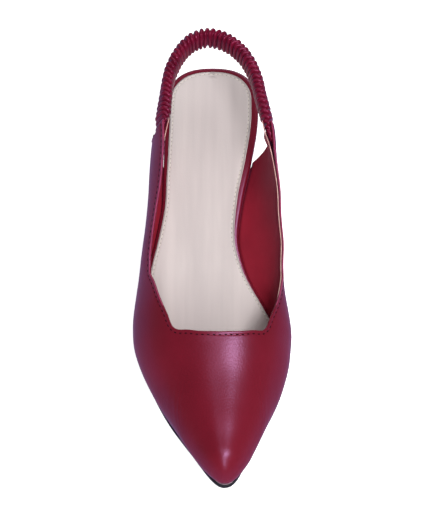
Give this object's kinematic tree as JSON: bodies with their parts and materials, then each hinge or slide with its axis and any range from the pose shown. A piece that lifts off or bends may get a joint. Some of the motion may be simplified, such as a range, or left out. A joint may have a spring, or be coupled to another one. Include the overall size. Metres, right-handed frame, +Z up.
{
  "type": "slingback shoe",
  "caption": "Women's pointed-toe slingback shoe with a low-cut leather upper, open waist, gathered elastic strap round the back and a covered block heel.",
  "frame": {"origin": "bottom centre of the shoe's box, on the floor", "axes": "+Y from toe to heel, +X towards the inner side of the right foot, +Z up"},
  "size_m": [0.0898, 0.2476, 0.0993],
  "materials": {
    "upper_leather": "satin smooth coated leather, burgundy",
    "lining_leather": "smooth matt lining, dark burgundy, peach cut edge",
    "gathered_leather": "thin soft leather gathered over elastic",
    "sock_leather": "matt beige padded sock with a row of stitches",
    "sole_rubber": "matt black moulded rubber"
  },
  "bodies": {
    "root": {"outsole": "sole_rubber", "top_lift": "sole_rubber", "heel": "upper_leather", "insole_board": "upper_leather", "sock": "sock_leather", "upper": "upper_leather", "sling_strap": "gathered_leather"}
  },
  "joints": []
}
